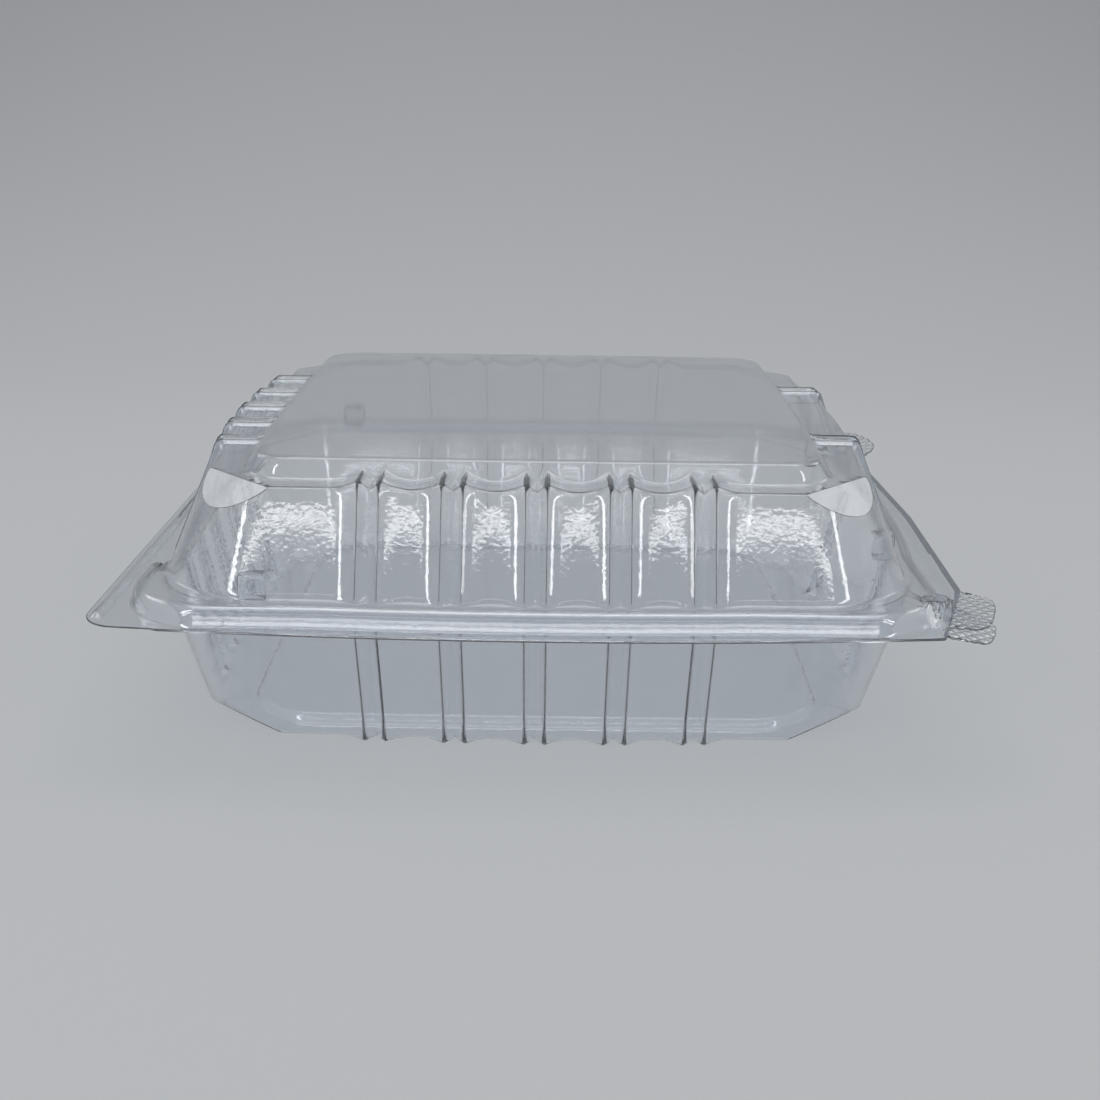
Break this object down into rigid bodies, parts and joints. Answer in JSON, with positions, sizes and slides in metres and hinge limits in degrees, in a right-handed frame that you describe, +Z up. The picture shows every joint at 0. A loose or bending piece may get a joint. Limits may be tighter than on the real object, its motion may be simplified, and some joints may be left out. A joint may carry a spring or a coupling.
{
  "type": "clear plastic clamshell pack",
  "caption": "Clear square food pack with a fluted tray and hinged lid, nested rim beads, snap buttons and corner lift tabs.",
  "frame": {"origin": "middle of the tray's underside, on the foot ring's plane", "axes": "+Z up, +X towards the opening side with the tabs, hinge side at -X, flutes of the plain side faces at -Y and +Y"},
  "size_m": [0.2485, 0.232, 0.079],
  "materials": {
    "tray_sheet": "clear glossy thermoformed sheet",
    "lid_sheet": "clear glossy thermoformed sheet"
  },
  "bodies": {
    "tray": {"base_tray": "tray_sheet"},
    "lid": {"lid": "lid_sheet"}
  },
  "joints": [
    {"name": "lid_hinge", "type": "hinge", "parent": "tray", "child": "lid", "pos_m": [-0.12, 0, 0.04], "axis": [0, -1, 0], "range_deg": [0, 180]}
  ]
}
